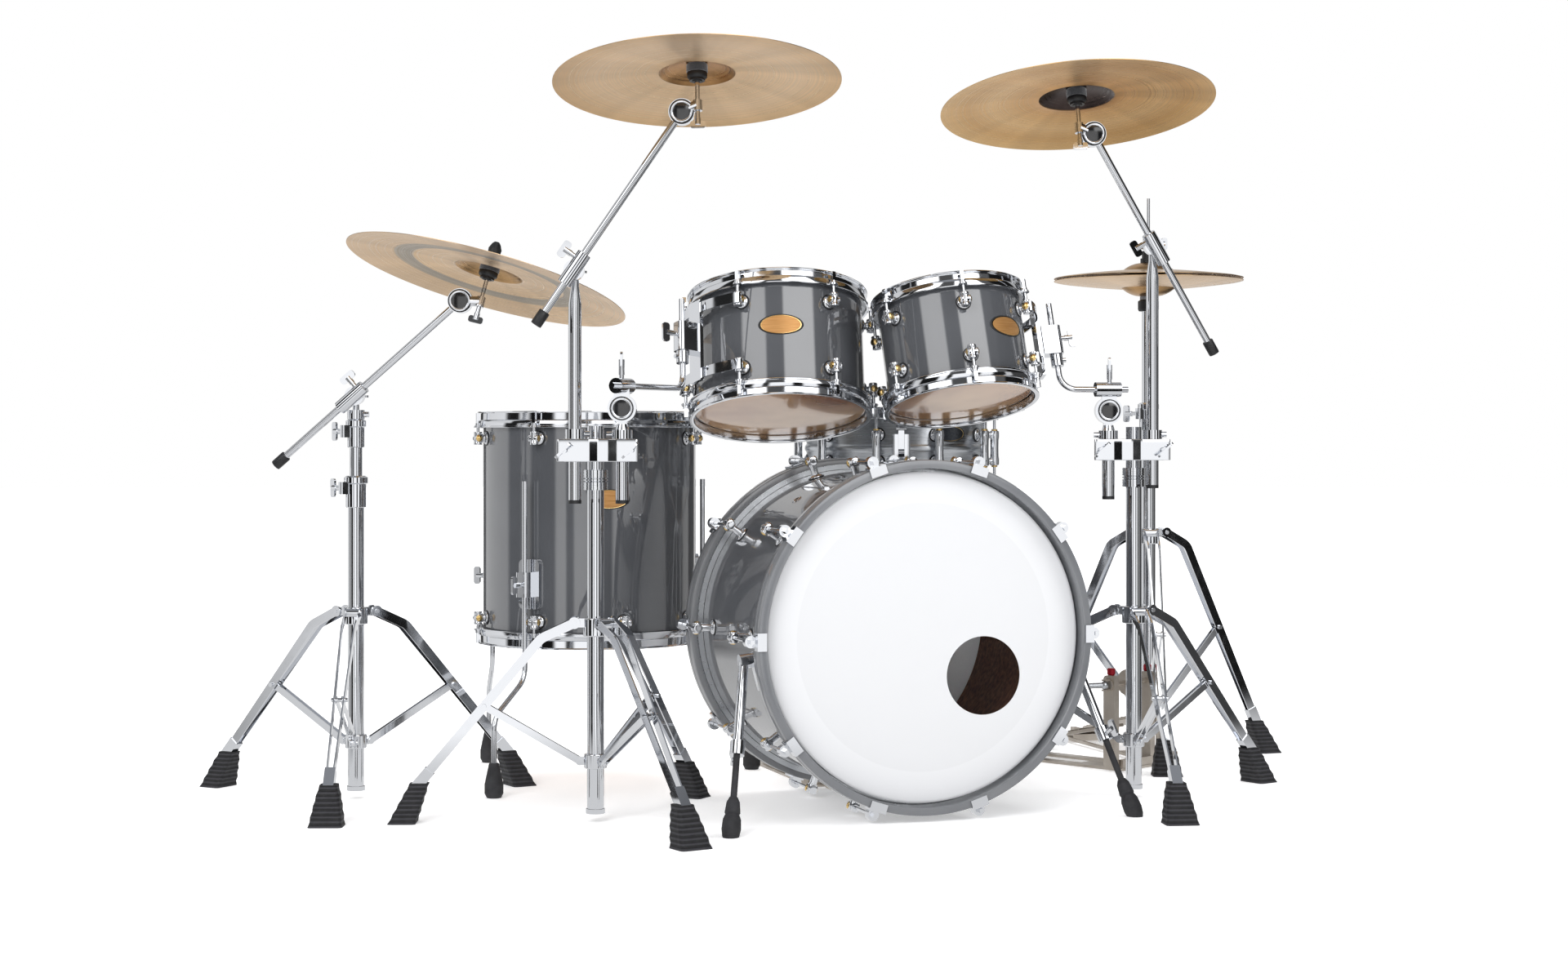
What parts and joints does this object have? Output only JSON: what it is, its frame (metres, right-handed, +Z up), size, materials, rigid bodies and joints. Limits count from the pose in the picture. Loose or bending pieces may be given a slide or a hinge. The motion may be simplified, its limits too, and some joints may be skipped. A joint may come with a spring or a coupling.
{
  "type": "acoustic drum kit",
  "caption": "Acoustic drum kit: bass drum with double pedal, rack toms and boom cymbals on double-braced stands, floor tom, snare on its stand and hi-hat.",
  "frame": {"origin": "middle of the kit's plan, on the floor", "axes": "+X to the drummer's left, +Y towards the drummer, +Z up; the bass drum's axis lies along Y and its front head faces -Y"},
  "size_m": [2.1628, 1.1848, 1.3126],
  "materials": {
    "lacquer": "gloss grey lacquer",
    "hoop_wood": "satin grey lacquer",
    "chrome": "polished",
    "steel": "plated",
    "snare_metal": "bright plated",
    "head_white": "coated",
    "head_clear": "clear film",
    "bronze": "lathed",
    "rubber": "matte",
    "cast": "satin"
  },
  "bodies": {
    "kit": {"bass_shell": "lacquer", "bass_hoops": "hoop_wood", "bass_heads": "head_white", "bass_lugs": "chrome", "floor_tom_shell": "lacquer", "floor_tom_hoops": "chrome", "floor_tom_heads": "head_clear", "floor_tom_lugs": "chrome", "snare_shell": "snare_metal", "snare_hoops": "chrome", "snare_heads": "head_white", "snare_lugs": "chrome", "snare_strainer": "chrome", "snare_stand": "chrome", "ride_stand_base": "chrome", "right_stand_base": "chrome", "left_stand_base": "chrome", "stand_feet": "rubber", "hihat_stand_base": "chrome", "hihat_bottom_cymbal": "bronze", "pedal_frames": "cast"},
    "spur_right": {"spur_right": "chrome"},
    "spur_left": {"spur_left": "chrome"},
    "floor_tom_leg_1": {"floor_tom_leg_1": "chrome"},
    "floor_tom_leg_2": {"floor_tom_leg_2": "chrome"},
    "floor_tom_leg_3": {"floor_tom_leg_3": "chrome"},
    "snare_lever": {"snare_lever": "chrome"},
    "hihat_rod": {"hihat_pull_rod": "steel", "hihat_top_cymbal": "bronze"},
    "hihat_board": {"hihat_footboard": "cast"},
    "tom12_post": {"tom12_post": "chrome"},
    "tom12": {"tom12_shell": "lacquer", "tom12_hoops": "chrome", "tom12_heads": "head_clear", "tom12_lugs": "chrome", "tom12_mount": "chrome"},
    "tom10_post": {"tom10_post": "chrome"},
    "tom10": {"tom10_shell": "lacquer", "tom10_hoops": "chrome", "tom10_heads": "head_clear", "tom10_lugs": "chrome", "tom10_mount": "chrome"},
    "ride_pole": {"ride_pole": "chrome"},
    "ride_boom_clamp": {"ride_boom_clamp": "chrome"},
    "ride_boom": {"ride_boom": "chrome"},
    "ride_cymbal": {"ride_cymbal": "bronze"},
    "right_pole": {"right_pole": "chrome"},
    "right_boom_clamp": {"right_boom_clamp": "chrome"},
    "right_boom": {"right_boom": "chrome"},
    "right_cymbal": {"right_cymbal": "bronze"},
    "left_pole": {"left_pole": "chrome"},
    "left_boom_clamp": {"left_boom_clamp": "chrome"},
    "left_boom": {"left_boom": "chrome"},
    "left_cymbal": {"left_cymbal": "bronze"},
    "main_beater": {"main_beater": "steel"},
    "pedal_board": {"pedal_board": "cast"},
    "slave_cam": {"slave_cam": "steel"},
    "slave_board": {"slave_board": "cast"},
    "drive_shaft": {"drive_shaft": "steel"},
    "slave_beater": {"slave_beater": "steel"}
  },
  "joints": [
    {"name": "spur_right_fold", "type": "hinge", "parent": "kit", "child": "spur_right", "pos_m": [-0.23969, -0.33977, 0.274], "axis": [0.992, 0, 0.1261], "range_deg": [0, 80]},
    {"name": "spur_left_fold", "type": "hinge", "parent": "kit", "child": "spur_left", "pos_m": [0.34231, -0.33977, 0.274], "axis": [0.992, 0, -0.1261], "range_deg": [0, 80]},
    {"name": "floor_tom_leg_1_height", "type": "slide", "parent": "kit", "child": "floor_tom_leg_1", "axis": [0, 0, 1], "range_m": [-0.1, 0.1]},
    {"name": "floor_tom_leg_2_height", "type": "slide", "parent": "kit", "child": "floor_tom_leg_2", "axis": [0, 0, 1], "range_m": [-0.1, 0.1]},
    {"name": "floor_tom_leg_3_height", "type": "slide", "parent": "kit", "child": "floor_tom_leg_3", "axis": [0, 0, 1], "range_m": [-0.1, 0.1]},
    {"name": "snare_lever_throw", "type": "hinge", "parent": "kit", "child": "snare_lever", "pos_m": [0.19304, 0.08281, 0.6225], "axis": [0.9511, -0.309, 0], "range_deg": [0, 60]},
    {"name": "hihat_lift", "type": "slide", "parent": "kit", "child": "hihat_rod", "axis": [0, 0, 1], "range_m": [-0.0035, 0.025], "stiffness_N_per_m": 500, "springref_m": 0.03},
    {"name": "hihat_board_hinge", "type": "hinge", "parent": "kit", "child": "hihat_board", "pos_m": [0.78631, 0.51923, 0.022], "axis": [-1, 0, 0], "range_deg": [-0.8, 5.4]},
    {"name": "tom12_height", "type": "slide", "parent": "kit", "child": "tom12_post", "axis": [0, 0, 1], "range_m": [0, 0.06]},
    {"name": "tom12_tilt", "type": "hinge", "parent": "tom12_post", "child": "tom12", "pos_m": [-0.44695, -0.29241, 0.697], "axis": [0.309, 0.9511, 0], "range_deg": [-15, 0]},
    {"name": "tom10_height", "type": "slide", "parent": "kit", "child": "tom10_post", "axis": [0, 0, 1], "range_m": [0, 0.06]},
    {"name": "tom10_tilt", "type": "hinge", "parent": "tom10_post", "child": "tom10", "pos_m": [0.45395, -0.2745, 0.697], "axis": [0.309, 0.9511, 0], "range_deg": [0, 15]},
    {"name": "ride_pole_height", "type": "slide", "parent": "kit", "child": "ride_pole", "axis": [0, 0, 1], "range_m": [0, 0.12]},
    {"name": "ride_boom_tilt", "type": "hinge", "parent": "ride_pole", "child": "ride_boom_clamp", "pos_m": [-0.82469, 0.16323, 0.72324], "axis": [0.309, 0.9511, 0], "range_deg": [-8, 8]},
    {"name": "ride_boom_reach", "type": "slide", "parent": "ride_boom_clamp", "child": "ride_boom", "axis": [0.6649, -0.384, 0.6407], "range_m": [-0.04, 0.04]},
    {"name": "ride_cymbal_rock", "type": "hinge", "parent": "ride_boom", "child": "ride_cymbal", "pos_m": [-0.60866, 0.02588, 0.94657], "axis": [-0.9218, 0.2995, 0.2461], "range_deg": [-8, 8], "stiffness_Nm_per_rad": 1.5},
    {"name": "right_pole_height", "type": "slide", "parent": "kit", "child": "right_pole", "axis": [0, 0, 1], "range_m": [0, 0.06]},
    {"name": "right_boom_tilt", "type": "hinge", "parent": "right_pole", "child": "right_boom_clamp", "pos_m": [-0.52208, -0.26799, 0.92671], "axis": [0.309, 0.9511, 0], "range_deg": [-10, 10]},
    {"name": "right_boom_reach", "type": "slide", "parent": "right_boom_clamp", "child": "right_boom", "axis": [0.5532, -0.0992, 0.8271], "range_m": [-0.04, 0.04]},
    {"name": "right_cymbal_rock", "type": "hinge", "parent": "right_boom", "child": "right_cymbal", "pos_m": [-0.32795, -0.33099, 1.26115], "axis": [-0.9508, 0.3089, -0.0218], "range_deg": [-8, 8], "stiffness_Nm_per_rad": 1.5},
    {"name": "left_pole_height", "type": "slide", "parent": "kit", "child": "left_pole", "axis": [0, 0, 1], "range_m": [0, 0.045]},
    {"name": "left_boom_tilt", "type": "hinge", "parent": "left_pole", "child": "left_boom_clamp", "pos_m": [0.52908, -0.29892, 0.99086], "axis": [0.309, 0.9511, 0], "range_deg": [-10, 10]},
    {"name": "left_boom_reach", "type": "slide", "parent": "left_boom_clamp", "child": "left_boom", "axis": [-0.5414, -0.0393, 0.8398], "range_m": [-0.04, 0.04]},
    {"name": "left_cymbal_rock", "type": "hinge", "parent": "left_boom", "child": "left_cymbal", "pos_m": [0.37062, -0.32047, 1.25206], "axis": [-0.9499, 0.3086, -0.0489], "range_deg": [-8, 8], "stiffness_Nm_per_rad": 1.5},
    {"name": "main_beater_swing", "type": "hinge", "parent": "kit", "child": "main_beater", "pos_m": [0.05131, 0.06123, 0.168], "axis": [1, 0, 0], "range_deg": [0, 49.5], "stiffness_Nm_per_rad": 1},
    {"name": "pedal_board_hinge", "type": "hinge", "parent": "kit", "child": "pedal_board", "pos_m": [0.05131, 0.35223, 0.022], "axis": [1, 0, 0], "range_deg": [0, 9.95]},
    {"name": "slave_cam_swing", "type": "hinge", "parent": "kit", "child": "slave_cam", "pos_m": [0.67931, 0.10172, 0.168], "axis": [0.8813, 0.4726, 0], "range_deg": [0, 49.5], "stiffness_Nm_per_rad": 1},
    {"name": "slave_board_hinge", "type": "hinge", "parent": "kit", "child": "slave_board", "pos_m": [0.5418, 0.35818, 0.022], "axis": [0.8813, 0.4726, 0], "range_deg": [0, 9.95]},
    {"name": "drive_shaft_turn", "type": "hinge", "parent": "kit", "child": "drive_shaft", "pos_m": [0.60704, 0.06298, 0.168], "axis": [1, 0.0037, 0], "range_deg": [0, 49.5]},
    {"name": "slave_beater_swing", "type": "hinge", "parent": "kit", "child": "slave_beater", "pos_m": [0.05131, 0.06123, 0.168], "axis": [1, 0, 0], "range_deg": [0, 49.5]}
  ],
  "couplings": [
    {"joint": "hihat_board_hinge", "follows": "hihat_lift", "rad_per_m": 3.7},
    {"joint": "pedal_board_hinge", "follows": "main_beater_swing", "ratio": 0.2},
    {"joint": "slave_board_hinge", "follows": "slave_cam_swing", "ratio": 0.2},
    {"joint": "drive_shaft_turn", "follows": "slave_cam_swing", "ratio": 1},
    {"joint": "slave_beater_swing", "follows": "slave_cam_swing", "ratio": 1}
  ]
}
